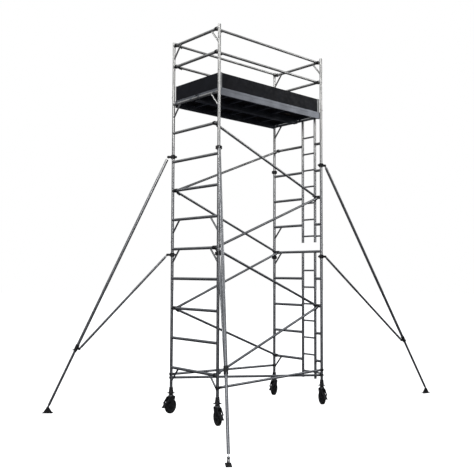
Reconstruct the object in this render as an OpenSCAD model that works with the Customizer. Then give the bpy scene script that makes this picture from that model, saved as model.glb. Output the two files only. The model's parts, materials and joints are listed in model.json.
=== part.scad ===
// Mobile tower scaffold on four castors. Two welded frames are stacked at each end,
// with a built-in ladder at the right. Hooked braces join the ends, two platforms with a
// hatch carry toe boards and guardrails, and four folding stabilisers widen the base.
// Origin on the floor at the tower's centre, +X along the long side, +Y rear, +Z up.

/* [Tower] */
// Distance between the left and right frames, post centre to post centre
tower_l = 2500; // [2400:10:2600]
// Distance between the front and rear posts, centre to centre
tower_w = 1200; // [1180:10:1260]
// Height of one rung above the next
rung_pitch = 500; // [490:5:510]
// Height of a frame's lower end above the floor
post_base_z = 355; // [350:5:380]
// Height of the lowest rung above a frame's lower end
first_rung_h = 415; // [400:5:430]

/* [Tubes] */
// Outer diameter of a post
post_d = 50; // [49:0.5:51]
// Outer diameter of a frame rung and of an end guardrail
rung_d = 48; // [44:1:48]
// Outer diameter of a brace tube
brace_d = 42; // [38:1:44]
// Outer diameter of a ladder stile
stile_d = 48; // [46:1:50]
// Outer diameter of a ladder rung
step_d = 32; // [28:1:34]
// Outer diameter of a corner gusset
gusset_d = 30; // [25:1:32]
// Wall thickness of the tubes
tube_wall = 2.5; // [2:0.25:3]

/* [Ladder] */
// Distance between the two ladder stiles, centre to centre
ladder_w = 300; // [280:5:320]
// Distance from the front post to the nearer stile, centre to centre
ladder_inset = 150; // [145:5:165]
// Height of one ladder rung above the next
step_pitch = 310; // [300:5:312]

/* [Guardrails] */
// Height of the top guardrail above a guard frame's lower end
top_rail_h = 945; // [920:5:970]
// Height of the middle guardrail above a guard frame's lower end
mid_rail_h = 571; // [550:5:600]
// How far the guard posts stand above the top rail
post_tip_h = 60; // [45:5:80]
// Distance from a post to the long guardrail beside it
guardrail_inset = 70; // [65:5:85]

/* [Platform] */
// Depth of a platform's side beams
beam_h = 118; // [112:1:122]
// Width of a platform's side beams
beam_w = 40; // [36:1:42]
// Height of the deck surface above the centre of the rung that carries it
deck_above_rung = 72; // [66:2:80]
// Thickness of the deck boards
deck_t = 12; // [10:1:14]
// Length of the hatch opening along the tower
hatch_l = 600; // [560:10:620]
// Width of the hatch opening
hatch_w = 440; // [420:5:450]
// Height of the toe boards
toe_h = 250; // [200:10:260]
// Thickness of the toe boards
toe_t = 20; // [16:1:22]

/* [Castors and legs] */
// Diameter of a castor wheel
wheel_d = 250; // [246:1:250]
// Width of a castor wheel's tread
wheel_w = 50; // [46:1:52]
// Distance from a castor's swivel axis to its axle, seen from above
castor_trail = 10; // [5:1:16]
// Outer diameter of the threaded leg
leg_d = 38; // [36:1:40]
// Overall span of the jack nut's handles
nut_span = 120; // [112:1:124]

/* [Stabilisers] */
// Height of the upper stabiliser clamp above the floor
upper_clamp_z = 4360; // [4350:5:4370]
// Height of the lower stabiliser clamp above the floor
lower_clamp_z = 2675; // [2665:5:2685]
// Reach from the post to the foot: rear left, front left, rear right, front right
foot_reach = [2075, 2085, 2085, 2500]; // [2000:5:2600]
// Direction of each stabiliser, in degrees from +X towards +Y, in the same order
foot_turn = [138, 233, 44, -15]; // [-180:1:360]
// Outer diameter of a stabiliser's main tube
arm_d = 50; // [48:1:52]
// Outer diameter of a stabiliser's sliding tube
slider_d = 42; // [40:1:42]
// Outer diameter of a stabiliser's lower strut
strut_d = 40; // [36:1:42]

/* [Hidden] */
$fn = 48;

// Corners in the order rear left, front left, rear right, front right
REAR_LEFT = 0;
FRONT_LEFT = 1;
REAR_RIGHT = 2;
FRONT_RIGHT = 3;
half_l = tower_l / 2;
half_w = tower_w / 2;
corner_pos = [[-half_l, half_w], [-half_l, -half_w], [half_l, half_w], [half_l, -half_w]];
// Direction in which each castor trails, in degrees from +X towards +Y
castor_turn = [190, 253, 201, 244];

post_r = post_d / 2;
rung_r = rung_d / 2;
brace_r = brace_d / 2;
stile_r = stile_d / 2;
step_r = step_d / 2;
gusset_r = gusset_d / 2;
arm_r = arm_d / 2;
slider_r = slider_d / 2;
strut_r = strut_d / 2;
leg_r = leg_d / 2;
// Air left at a welded end, so that each tube is a solid of its own
weld_gap = 0.2;
// Air between pieces that move past each other
free_gap = 0.3;
// Extra length that makes a cutting shape pass right through
past = 1;

rungs_per_frame = 5;
frame_h = rungs_per_frame * rung_pitch;
upper_base_z = post_base_z + frame_h;
guard_base_z = upper_base_z + frame_h;
guard_top_z = guard_base_z + top_rail_h + post_tip_h;
first_rung_z = post_base_z + first_rung_h;
function rung_z(i) = first_rung_z + i * rung_pitch;
deck_rung_z = rung_z(2 * rungs_per_frame - 1);

// Gussets: how far along the rung and down the post their centre lines start
gusset_run = 200;
gusset_drop = 240;
gusset_wall = 2;

stile_y = [-half_w + ladder_inset, -half_w + ladder_inset + ladder_w];
stile_foot_h = 85;
first_step_h = 205;
step_count = 7;

spigot_len = 200;
spigot_r = post_r - tube_wall - 0.5;
spigot_wall = 3;
pin_r = 4;
pin_h = 45;
pin_head_r = 8;
pin_head_t = 5;

// Hooks at the brace ends
hook_w = 38;
hook_wall = 10;
hook_gap_w = 40;
hook_shank = 115;
brace_start = 62;
brace_wall = 2;
// Two braces that meet on one rung lie side by side, the inner one just clear of the ladder
hook_clearance = 1;
brace_inner_y = half_w - ladder_inset + stile_r + hook_w / 2 + hook_clearance;
brace_outer_y = brace_inner_y + hook_w + 6 * hook_clearance;
// Heights of the low braces at their left and right ends
front_ledger_z = [580, 618];
rear_ledger_z = [655, 575];
plan_brace_z = [598, 522];
plan_hook_w = 30;

deck_z = deck_rung_z + deck_above_rung;
platform_hook_wall = 8;
platform_gap = 8;
platform_inset = 6;
platform_w = half_w - platform_inset - platform_gap / 2;
platform_end_x = half_l - rung_r - platform_hook_wall - weld_gap;
platform_y = [-platform_gap / 2 - platform_w, platform_gap / 2];
beam_wall = 3;
beam_lip = 3;
beam_groove_h = 8;
beam_groove_down = 38;
cross_w = 36;
cross_h = 44;
cross_count = 5;
end_beam_w = 30;
end_beam_h = 56;
hatch_x = 520;
hatch_gap = 4;
hinge_r = 7;
hinge_len = 60;
platform_hook_w = 44;
platform_hook_y = 200;
platform_hook_top = 6;

toe_long_y = half_w - post_r - 11;
toe_end_x = half_l - post_r - 15;
clip_leg = 50;
clip_fold = 12;
clip_t = 3;

// Castor and leg heights above the floor
wheel_r = wheel_d / 2;
fork_crown_z = wheel_d + 6;
fork_top_z = 288;
leg_flange_z = 289;
leg_flange_t = 20;
leg_flange_r = 45;
leg_top_z = post_base_z + 330;
leg_wall = 5;
// Jack nut: a cup that holds the post's lower end, with a rim and four handles
nut_z = 311;
nut_rim_z = 334;
nut_rim_t = 14;
nut_top_z = 440;
nut_wall = 5;
handle_r = 11;
swivel_pin_r = 10;
swivel_pin_len = 70;
axle_r = 6;
running_gap = 0.05;
cheek_t = 6;
cheek_y = wheel_w / 2 + 10;
crown_half = 62;
pedal_pivot = [castor_trail + 125, wheel_r + 65];
pedal_drop = 55;
pedal_len = 92;
pedal_pin_r = 4;
pedal_barrel_r = 10;

// Stabiliser heights, lengths and fittings
foot_pin_z = 90;
clamp_pin_r = 85;
clamp_h = 66;
clamp_wall = 12;
clamp_ear_r = 52;
clamp_back_r = 64;
clamp_ear_t = 28;
bolt_r = 10;
lug_t = 8;
eye_t = 9;
eye_r = 20;
eye_pin_r = 8;
// How far along the line from upper clamp to foot the strut joins the main tube
knuckle_at = 0.765;
knuckle_len = 110;
knuckle_wall = 7;
knuckle_arm = 52;
arm_past_knuckle = 20;
tube_start = 48;
eye_plug = 24;
slider_inside = 600;
slider_wall = 3;
foot_l = 175;
foot_w = 80;
foot_t = 8;

alu = [0.78, 0.79, 0.78];
alu_dark = [0.6, 0.61, 0.62];
cast_black = [0.13, 0.13, 0.14];
board_black = [0.07, 0.07, 0.1];
steel = [0.55, 0.56, 0.58];
rubber_black = [0.08, 0.08, 0.08];

// ---------- shared shapes ----------

module bar(from, to, r) {
    run = to - from;
    length = norm(run);
    translate(from) rotate([0, acos(run.z / length), atan2(run.y, run.x)]) cylinder(r = r, h = length);
}

module tube(from, to, r, wall) {
    way = (to - from) / norm(to - from);
    difference() {
        bar(from, to, r);
        bar(from - past * way, to + past * way, r - wall);
    }
}

// A tube along Y at height z whose ends are cut to the round of what it meets
module level_tube(y_from, y_to, z, r, end_from_r, end_to_r) {
    difference() {
        tube([0, y_from, z], [0, y_to, z], r, tube_wall);
        upright_cut(y_from, z, end_from_r);
        upright_cut(y_to, z, end_to_r);
    }
}

module upright_cut(y, z, r) {
    translate([0, y, z - post_d]) cylinder(r = r + weld_gap, h = 2 * post_d);
}

module post(side, z, height, pinned) {
    difference() {
        tube([0, side * half_w, z], [0, side * half_w, z + height], post_r, tube_wall);
        if (pinned) translate([0, side * half_w, z + pin_h]) rotate([0, 90, 0])
            cylinder(r = pin_r + free_gap, h = 2 * post_d, center = true);
    }
}

module gusset(side, z) {
    difference() {
        tube([0, side * half_w, z - gusset_drop], [0, side * (half_w - gusset_run), z],
            gusset_r, gusset_wall);
        translate([0, side * half_w, z - 2 * gusset_drop])
            cylinder(r = post_r + weld_gap, h = 2 * gusset_drop);
        translate([0, 0, z]) rotate([90, 0, 0])
            cylinder(r = rung_r + weld_gap, h = tower_w, center = true);
    }
}

// A cast hook round a bar that lies along Y. Its shank leaves at an angle above +X
// and may lean towards +Y.
module hook(bar_r, angle, width, lean) {
    difference() {
        union() {
            difference() {
                rotate([90, 0, 0]) cylinder(r = bar_r + hook_wall, h = width, center = true);
                rotate([0, 90, 0]) translate([0, -width, -hook_gap_w / 2])
                    cube([bar_r + hook_wall + past, 2 * width, hook_gap_w]);
            }
            rotate([0, 90 - angle, lean]) cylinder(r = brace_r - brace_wall - 0.1, h = hook_shank);
            rotate([0, 90 - angle, lean]) cylinder(r = brace_r, h = brace_start - 0.5);
        }
        rotate([90, 0, 0]) cylinder(r = bar_r + free_gap, h = 4 * width, center = true);
    }
}

// ---------- end frames ----------

module plain_frame(base_z, pinned) {
    for (side = [-1, 1]) post(side, base_z, frame_h, pinned);
    for (i = [0 : rungs_per_frame - 1])
        level_tube(-half_w, half_w, base_z + first_rung_h + i * rung_pitch, rung_r, post_r, post_r);
    for (side = [-1, 1], i = [0, rungs_per_frame - 1])
        gusset(side, base_z + first_rung_h + i * rung_pitch);
}

module ladder_frame(base_z, pinned) {
    top_z = base_z + first_rung_h + (rungs_per_frame - 1) * rung_pitch;
    for (side = [-1, 1]) post(side, base_z, frame_h, pinned);
    level_tube(-half_w, half_w, top_z, rung_r, post_r, post_r);
    for (i = [0 : rungs_per_frame - 2]) {
        z = base_z + first_rung_h + i * rung_pitch;
        level_tube(-half_w, stile_y[0], z, rung_r, post_r, stile_r);
        level_tube(stile_y[1], half_w, z, rung_r, stile_r, post_r);
    }
    for (y = stile_y) difference() {
        tube([0, y, base_z + stile_foot_h], [0, y, top_z], stile_r, tube_wall);
        translate([0, 0, top_z]) rotate([90, 0, 0])
            cylinder(r = rung_r + weld_gap, h = 2 * tower_w, center = true);
    }
    for (i = [0 : step_count - 1])
        level_tube(stile_y[0], stile_y[1], base_z + first_step_h + i * step_pitch, step_r, stile_r, stile_r);
    level_tube(-half_w, stile_y[0], base_z + first_step_h - 5, step_r, post_r, stile_r);
    for (i = [0, rungs_per_frame - 1]) gusset(1, base_z + first_rung_h + i * rung_pitch);
}

module guard_frame() {
    for (side = [-1, 1]) {
        post(side, guard_base_z, guard_top_z - guard_base_z, true);
        gusset(side, guard_base_z + top_rail_h);
    }
    for (h = [mid_rail_h, top_rail_h])
        level_tube(-half_w, half_w, guard_base_z + h, rung_r, post_r, post_r);
}

module left_lower_frame() color(alu) translate([-half_l, 0, 0]) plain_frame(post_base_z, false);
module left_upper_frame() color(alu) translate([-half_l, 0, 0]) plain_frame(upper_base_z, true);
module right_lower_frame() color(alu) translate([half_l, 0, 0]) ladder_frame(post_base_z, false);
module right_upper_frame() color(alu) translate([half_l, 0, 0]) ladder_frame(upper_base_z, true);
module left_guard_frame() color(alu) translate([-half_l, 0, 0]) guard_frame();
module right_guard_frame() color(alu) translate([half_l, 0, 0]) guard_frame();

module at_corners_and_joints() {
    for (corner = corner_pos, z = [upper_base_z, guard_base_z]) translate([corner.x, corner.y, z]) children();
}

module frame_spigots() {
    color(steel) at_corners_and_joints() difference() {
        translate([0, 0, -spigot_len / 2]) cylinder(r = spigot_r, h = spigot_len);
        translate([0, 0, -spigot_len]) cylinder(r = spigot_r - spigot_wall, h = 2 * spigot_len);
        translate([0, 0, pin_h]) rotate([0, 90, 0])
            cylinder(r = pin_r + free_gap, h = 2 * post_d, center = true);
    }
}

module snap_pins() {
    color(steel) at_corners_and_joints() translate([0, 0, pin_h]) rotate([0, 90, 0]) {
        cylinder(r = pin_r, h = post_d + 2 * pin_head_r, center = true);
        for (side = [-1, 1]) translate([0, 0, side * (post_r + free_gap + pin_head_t / 2)])
            cylinder(r = pin_head_r, h = pin_head_t, center = true);
    }
}

// ---------- braces ----------

// Each brace is [y, left rung number, right rung number]
front_braces = [for (i = [0 : 3]) [
    -(i % 2 == 0 ? brace_outer_y : brace_inner_y),
    2 * (i + i % 2),
    2 * (i + 1 - i % 2),
]];
rear_braces = [for (i = [0 : 3]) [
    i % 2 == 0 ? brace_outer_y : brace_inner_y,
    2 * (i + 1 - i % 2),
    2 * (i + i % 2),
]];

module long_tube(y, left_z, right_z, start) {
    left = [-half_l, y, left_z];
    right = [half_l, y, right_z];
    way = (right - left) / norm(right - left);
    tube(left + start * way, right - start * way, brace_r, brace_wall);
}

module diagonal(brace) long_tube(brace[0], rung_z(brace[1]), rung_z(brace[2]), brace_start);

module front_diagonal_braces() color(alu) for (brace = front_braces) diagonal(brace);
module rear_diagonal_braces() color(alu) for (brace = rear_braces) diagonal(brace);
module front_ledger() color(alu) long_tube(-half_w, front_ledger_z[0], front_ledger_z[1], brace_start);
module rear_ledger() color(alu) long_tube(half_w, rear_ledger_z[0], rear_ledger_z[1], brace_start);

plan_angle = atan2(tower_w, tower_l);

module plan_brace() {
    left = [-half_l, half_w, plan_brace_z[0]];
    right = [half_l, -half_w, plan_brace_z[1]];
    way = (right - left) / norm(right - left);
    color(alu) tube(left + brace_start * way, right - brace_start * way, brace_r, brace_wall);
}

guardrail_y = half_w - guardrail_inset;
module guardrail_pair(side) {
    for (h = [mid_rail_h, top_rail_h])
        long_tube(side * guardrail_y, guard_base_z + h, guard_base_z + h, brace_start);
}
module front_guardrails() color(alu) guardrail_pair(-1);
module rear_guardrails() color(alu) guardrail_pair(1);

module hook_pair(y, left_z, right_z) {
    slope = atan2(right_z - left_z, tower_l);
    translate([-half_l, y, left_z]) hook(rung_r, slope, hook_w, 0);
    translate([half_l, y, right_z]) mirror([1, 0, 0]) hook(rung_r, -slope, hook_w, 0);
}

// A hook turned to grip a post: its mouth faces +Y and its shank may lean upwards
module post_hook(width, lean) rotate([90, 0, 0]) hook(post_r, 0, width, lean);

module ledger_hooks(side, heights) {
    slope = atan2(heights[1] - heights[0], tower_l);
    for (end = [0, 1]) mirror([end, 0, 0]) translate([-half_l, side * half_w, heights[end]])
        mirror([0, side > 0 ? 1 : 0, 0]) post_hook(hook_w, end == 0 ? slope : -slope);
}

module plan_hook(z, lean) {
    translate([-half_l, half_w, z]) rotate([0, 0, -plan_angle])
        mirror([0, 1, 0]) post_hook(plan_hook_w, lean);
}

// The plan brace's left hook is cut back where a gusset meets the post
module plan_hooks() {
    slope = atan2(plan_brace_z[1] - plan_brace_z[0], norm([tower_l, tower_w]));
    difference() {
        plan_hook(plan_brace_z[0], slope);
        translate([-half_l, 0, 0]) bar([0, half_w, first_rung_z - gusset_drop],
            [0, half_w - gusset_run, first_rung_z], gusset_r + free_gap);
    }
    rotate([0, 0, 180]) plan_hook(plan_brace_z[1], -slope);
}

module brace_hooks() {
    color(cast_black) {
        for (brace = concat(front_braces, rear_braces))
            hook_pair(brace[0], rung_z(brace[1]), rung_z(brace[2]));
        for (side = [-1, 1], h = [mid_rail_h, top_rail_h])
            hook_pair(side * guardrail_y, guard_base_z + h, guard_base_z + h);
        ledger_hooks(-1, front_ledger_z);
        ledger_hooks(1, rear_ledger_z);
        plan_hooks();
    }
}

// ---------- platforms ----------

// Side beam section: a closed box with a lip over a groove on its outer face, at x = beam_w
module beam_outline() {
    groove_top = beam_h - beam_groove_down;
    polygon([
        [0, 0], [beam_w, 0], [beam_w, groove_top - beam_groove_h],
        [beam_w - beam_lip, groove_top - beam_groove_h],
        [beam_w - beam_lip, groove_top], [beam_w, groove_top], [beam_w, beam_h], [0, beam_h],
    ]);
}

module side_beam() {
    rotate([90, 0, 90]) linear_extrude(2 * platform_end_x, center = true) difference() {
        beam_outline();
        translate([beam_wall, beam_wall])
            square([beam_w - 2 * beam_wall - beam_lip, beam_h - 2 * beam_wall]);
    }
}

module box_beam(size) {
    difference() {
        cube(size);
        translate([beam_wall, -past, beam_wall])
            cube([size.x - 2 * beam_wall, size.y + 2 * past, size.z - 2 * beam_wall]);
    }
}

hatch_y = platform_y[0] + (platform_w - hatch_w) / 2;

module platform_frame(low_y, with_hatch) {
    inner_w = platform_w - 2 * beam_w - 2 * weld_gap;
    translate([0, low_y + beam_w, deck_z - beam_h]) mirror([0, 1, 0]) side_beam();
    translate([0, low_y + platform_w - beam_w, deck_z - beam_h]) side_beam();
    for (side = [-1, 1])
        translate([side * (platform_end_x - end_beam_w / 2) - end_beam_w / 2, low_y + beam_w + weld_gap,
            deck_z - end_beam_h])
            box_beam([end_beam_w, inner_w, end_beam_h]);
    span = with_hatch ? hatch_x + platform_end_x - cross_w / 2 - 6 : 2 * platform_end_x;
    for (i = [1 : cross_count])
        translate([-platform_end_x + i * span / (cross_count + (with_hatch ? 0 : 1)) - cross_w / 2,
            low_y + beam_w + weld_gap, deck_z - deck_t - weld_gap - cross_h])
            box_beam([cross_w, inner_w, cross_h]);
}

module front_platform_frame() color(alu_dark) platform_frame(platform_y[0], true);
module rear_platform_frame() color(alu_dark) platform_frame(platform_y[1], false);

deck_end_x = platform_end_x - end_beam_w - weld_gap;

// A deck panel between two x positions and two distances from the platform's front edge
module deck_panel(low_y, from_x, to_x, from_w, to_w) {
    translate([from_x, low_y + from_w, deck_z - deck_t])
        cube([to_x - from_x - weld_gap, to_w - from_w - weld_gap, deck_t]);
}

// Hinge knuckles in turn along the hatch's front edge; the door holds the pin
hinge_x = [hatch_x + 100, hatch_x + hatch_l - 100 - hinge_len];
hinge_axis = [hatch_y - hatch_gap / 2, deck_z + hinge_r + 1];

module knuckle(x, length, bore) {
    translate([x, hinge_axis[0], hinge_axis[1]]) rotate([0, 90, 0]) difference() {
        cylinder(r = hinge_r, h = length);
        translate([0, 0, -past]) cylinder(r = bore, h = length + 2 * past);
    }
}

module front_deck_board() {
    color(board_black) {
        edge = beam_w + weld_gap;
        hatch_edge = hatch_y - platform_y[0];
        deck_panel(platform_y[0], -deck_end_x, hatch_x, edge, platform_w - beam_w);
        deck_panel(platform_y[0], hatch_x + hatch_l, deck_end_x, edge, platform_w - beam_w);
        deck_panel(platform_y[0], hatch_x, hatch_x + hatch_l, edge, hatch_edge);
        deck_panel(platform_y[0], hatch_x, hatch_x + hatch_l, hatch_edge + hatch_w,
            platform_w - beam_w);
    }
    color(steel) for (x = hinge_x, part = [0, 1]) {
        start = x + part * 2 * hinge_len / 3;
        knuckle(start, hinge_len / 3 - free_gap, pin_r + running_gap);
        translate([start, hinge_axis[0] - 30, deck_z + weld_gap]) difference() {
            cube([hinge_len / 3 - free_gap, 30, 3]);
            translate([-past, 30, hinge_r + 1 - weld_gap]) rotate([0, 90, 0])
                cylinder(r = hinge_r + weld_gap, h = hinge_len);
        }
    }
}
module rear_deck_board() {
    color(board_black)
        deck_panel(platform_y[1], -deck_end_x, deck_end_x, beam_w + weld_gap, platform_w - beam_w);
}

module hatch_door() {
    door_y = hatch_y + hatch_gap;
    color(board_black) difference() {
        translate([hatch_x + hatch_gap, door_y, deck_z - deck_t])
            cube([hatch_l - 2 * hatch_gap, hatch_w - 2 * hatch_gap, deck_t]);
        translate([hatch_x + hatch_l / 2 - 60, hatch_y + hatch_w - 90, deck_z - 2 * deck_t])
            cube([120, 35, 3 * deck_t]);
    }
    color(steel) for (x = hinge_x) {
        middle = x + hinge_len / 3 + free_gap / 2;
        knuckle(middle, hinge_len / 3 - 2 * free_gap, pin_r - 0.01);
        translate([x - pin_r, hinge_axis[0], hinge_axis[1]]) rotate([0, 90, 0])
            cylinder(r = pin_r, h = hinge_len + 2 * pin_r);
        translate([middle, hinge_axis[0], deck_z]) difference() {
            cube([hinge_len / 3 - 2 * free_gap, 34, 3]);
            translate([-past, 0, hinge_r + 1]) rotate([0, 90, 0]) cylinder(r = hinge_r - 1, h = hinge_len);
        }
    }
}

module platform_hooks() {
    lip = 6;
    mouth = 2 * rung_r - lip;
    color(alu_dark) for (side = [0, 1], low_y = platform_y, step = [-1, 1])
        mirror([side, 0, 0]) translate([half_l, low_y + platform_w / 2 + step * platform_hook_y, deck_rung_z])
        difference() {
            union() {
                rotate([90, 0, 0])
                    cylinder(r = rung_r + platform_hook_wall, h = platform_hook_w, center = true);
                translate([-rung_r - platform_hook_wall, -platform_hook_w / 2, -rung_r])
                    cube([platform_hook_wall, platform_hook_w, rung_r + deck_above_rung - platform_hook_top]);
            }
            rotate([90, 0, 0]) cylinder(r = rung_r + free_gap, h = 2 * platform_hook_w, center = true);
            translate([-mouth / 2, -platform_hook_w, -2 * rung_r])
                cube([2 * mouth, 2 * platform_hook_w, 2 * rung_r - lip]);
            translate([-2 * rung_r - half_l + platform_end_x, -platform_hook_w, -rung_r])
                cube([2 * rung_r + weld_gap, 2 * platform_hook_w, 4 * rung_r]);
        }
}

module toe_boards() {
    color(board_black) {
        for (side = [-1, 1]) {
            translate([-toe_end_x + toe_t / 2 + weld_gap, side * toe_long_y - toe_t / 2, deck_z + weld_gap])
                cube([2 * toe_end_x - toe_t - 2 * weld_gap, toe_t, toe_h]);
            translate([side * toe_end_x - toe_t / 2, -toe_long_y - toe_t / 2, deck_z + weld_gap])
                cube([toe_t, 2 * toe_long_y + toe_t, toe_h]);
        }
    }
}

module toe_board_clips() {
    outer_x = toe_end_x + toe_t / 2 + weld_gap;
    outer_y = toe_long_y + toe_t / 2 + weld_gap;
    color(steel) for (x = [0, 1], y = [0, 1]) mirror([x, 0, 0]) mirror([0, y, 0]) difference() {
        translate([outer_x - clip_leg, outer_y - clip_fold, deck_z + weld_gap])
            cube([clip_leg + clip_t, clip_fold + clip_t, toe_h + clip_t]);
        translate([outer_x - 2 * clip_leg, outer_y - 2 * clip_leg, deck_z - toe_h])
            cube([2 * clip_leg, 2 * clip_leg, 3 * toe_h]);
    }
}

// ---------- legs and castors ----------

module at_corner(corner) translate([corner_pos[corner].x, corner_pos[corner].y, 0]) children();
module at_castor(corner) at_corner(corner) rotate([0, 0, castor_turn[corner]]) children();

module leg(corner) {
    rod_z = leg_flange_z + leg_flange_t + weld_gap;
    bore_top_z = leg_flange_z + swivel_pin_len + 5;
    color(steel) at_corner(corner) difference() {
        union() {
            translate([0, 0, rod_z]) cylinder(r = leg_r, h = leg_top_z - rod_z);
            translate([0, 0, leg_flange_z]) cylinder(r = leg_flange_r, h = leg_flange_t);
        }
        translate([0, 0, leg_flange_z - past]) cylinder(r = swivel_pin_r + running_gap, h = swivel_pin_len);
        translate([0, 0, bore_top_z]) cylinder(r = leg_r - leg_wall, h = leg_top_z - bore_top_z + past);
    }
}

// Section of the nut: a narrow foot, a flat rim and a hub that tapers up round the post
module nut_outline(rim_r) {
    inner_r = leg_r + free_gap;
    cup_r = post_r + free_gap;
    floor_z = post_base_z - free_gap;
    hub_r = cup_r + 2 * nut_wall;
    rim_top_z = nut_rim_z + nut_rim_t;
    polygon([
        [inner_r, nut_z], [hub_r, nut_z], [hub_r, nut_rim_z - nut_wall], [rim_r, nut_rim_z],
        [rim_r, rim_top_z], [hub_r + nut_wall, rim_top_z + nut_wall],
        [cup_r + nut_wall, nut_top_z], [cup_r, nut_top_z], [cup_r, floor_z], [inner_r, floor_z],
    ]);
}

module jack_nut(corner) {
    rim_r = nut_span / 2 - handle_r;
    color(cast_black) at_corner(corner) {
        rotate_extrude() nut_outline(rim_r);
        for (turn = [0 : 3]) rotate([0, 0, 45 + 90 * turn]) difference() {
            translate([rim_r + handle_r / 2, 0, nut_rim_z]) cylinder(r = handle_r, h = nut_rim_t);
            translate([0, 0, nut_z]) cylinder(r = rim_r + weld_gap, h = nut_top_z - nut_z);
        }
    }
}

module cheek() {
    lug_r = 14;
    neck_r = 28;
    axle_top_z = wheel_r + lug_r;
    linear_extrude(cheek_t) {
        polygon([[-crown_half, fork_top_z], [crown_half, fork_top_z], [crown_half, fork_crown_z],
            [castor_trail + neck_r, axle_top_z], [castor_trail - neck_r, axle_top_z],
            [-crown_half, fork_crown_z]]);
        translate([castor_trail, wheel_r]) circle(r = neck_r);
        polygon([[crown_half - lug_r, fork_top_z], [crown_half, fork_top_z],
            pedal_pivot + [lug_r, 0], pedal_pivot - [0, lug_r],
            [castor_trail + neck_r, fork_crown_z - neck_r]]);
        translate(pedal_pivot) circle(r = lug_r);
    }
}

module castor_fork(corner) {
    head_r = 44;
    crown_t = 10;
    nut_t = 7;
    outer_y = cheek_y + cheek_t;
    color(cast_black) at_castor(corner) {
        translate([0, 0, fork_crown_z]) cylinder(r = head_r, h = fork_top_z - fork_crown_z);
        translate([0, 0, fork_top_z - past]) cylinder(r = swivel_pin_r, h = swivel_pin_len - 4);
        translate([-crown_half, -outer_y, fork_top_z - crown_t])
            cube([2 * crown_half, 2 * outer_y, crown_t]);
        translate([0, -cheek_y, 0]) rotate([90, 0, 0]) cheek();
        translate([0, outer_y, 0]) rotate([90, 0, 0]) cheek();
        translate([castor_trail, 0, wheel_r]) rotate([90, 0, 0]) {
            cylinder(r = axle_r, h = 2 * (outer_y + nut_t), center = true);
            for (side = [-1, 1]) translate([0, 0, side * (outer_y + nut_t / 2 - past)])
                cylinder(r = 2 * axle_r, h = nut_t, $fn = 6, center = true);
        }
        translate([pedal_pivot.x, 0, pedal_pivot.y]) rotate([90, 0, 0])
            cylinder(r = pedal_pin_r, h = 2 * (outer_y + 2 * past), center = true);
    }
}

module castor_wheel(corner) {
    half = wheel_w / 2;
    hub_half = half + 3;
    hub_r = 26;
    rim_r = wheel_r - 32;
    edge = 12;
    color(rubber_black) at_castor(corner) translate([castor_trail, 0, wheel_r]) rotate([90, 0, 0])
        rotate_extrude($fn = 96) {
            translate([axle_r + running_gap, -hub_half]) square([hub_r - axle_r, 2 * hub_half]);
            translate([hub_r - 4, -6]) square([rim_r - hub_r + 8, 12]);
            translate([rim_r, -half]) square([wheel_r - rim_r - edge, wheel_w]);
            translate([rim_r, -half + edge]) square([wheel_r - rim_r, wheel_w - 2 * edge]);
            for (side = [-1, 1]) translate([wheel_r - edge, side * (half - edge)]) circle(r = edge);
        }
}

module brake_pedal(corner) {
    tread_w = 2 * cheek_y - 18;
    tread_t = 7;
    roll_r = 9;
    color(cast_black) at_castor(corner) translate([pedal_pivot.x, 0, pedal_pivot.y]) difference() {
        union() {
            rotate([90, 0, 0]) cylinder(r = pedal_barrel_r, h = 2 * cheek_y - 2, center = true);
            rotate([0, pedal_drop, 0]) translate([0, -tread_w / 2, 0]) cube([pedal_len, tread_w, tread_t]);
            rotate([0, pedal_drop, 0]) translate([pedal_len - roll_r, 0, tread_t / 2]) rotate([90, 0, 0])
                cylinder(r = roll_r, h = tread_w + roll_r, center = true);
        }
        rotate([90, 0, 0]) cylinder(r = pedal_pin_r + running_gap, h = 4 * cheek_y, center = true);
    }
}

// ---------- stabilisers ----------
// Drawn with the post's axis at the origin and the foot out along +X, then turned in place.

module at_stabiliser(corner) at_corner(corner) rotate([0, 0, foot_turn[corner]]) children();
function top_pin() = [clamp_pin_r, 0, upper_clamp_z];
function foot_pin(corner) = [foot_reach[corner], 0, foot_pin_z];
function arm_way(corner) = (foot_pin(corner) - top_pin()) / norm(foot_pin(corner) - top_pin());
function knuckle_pos(corner) = top_pin() + knuckle_at * (foot_pin(corner) - top_pin());
// The strut's pin stands off the main tube, at right angles to it, towards the post
function strut_side(corner) = [arm_way(corner).z, 0, -arm_way(corner).x];
function strut_pin(corner) = knuckle_pos(corner) + knuckle_arm * strut_side(corner);
function low_pin() = [clamp_pin_r, 0, lower_clamp_z];

// A tube from one pin towards another. It ends in a flat eye on a pin that lies along Y,
// at both ends when eyes is 2, and behind each eye the tube is solid for a short way.
module eyed_tube(pin, end, r, wall, eyes) {
    run = end - pin;
    length = norm(run);
    plug = tube_start + eye_plug;
    tube_end = eyes == 2 ? length - tube_start : length;
    bore_end = eyes == 2 ? length - plug : length + past;
    translate(pin) rotate([0, -atan2(run.z, run.x), 0]) difference() {
        union() {
            translate([tube_start, 0, 0]) rotate([0, 90, 0]) cylinder(r = r, h = tube_end - tube_start);
            eye_plate();
            if (eyes == 2) translate([length, 0, 0]) mirror([1, 0, 0]) eye_plate();
        }
        translate([plug, 0, 0]) rotate([0, 90, 0]) cylinder(r = r - wall, h = bore_end - plug);
    }
}

module eye_plate() {
    half_h = eye_r - 4;
    rotate([90, 0, 0]) linear_extrude(eye_t, center = true) difference() {
        union() {
            circle(r = eye_r);
            translate([0, -half_h]) square([tube_start + eye_plug / 2, 2 * half_h]);
        }
        circle(r = eye_pin_r + free_gap);
    }
}

module stabiliser_arm(corner) {
    color(alu) at_stabiliser(corner) {
        arm_end = knuckle_pos(corner) + (knuckle_len / 2 + arm_past_knuckle) * arm_way(corner);
        eyed_tube(top_pin(), arm_end, arm_r, tube_wall, 1);
        eyed_tube(low_pin(), strut_pin(corner), strut_r, tube_wall, 2);
    }
}

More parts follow.
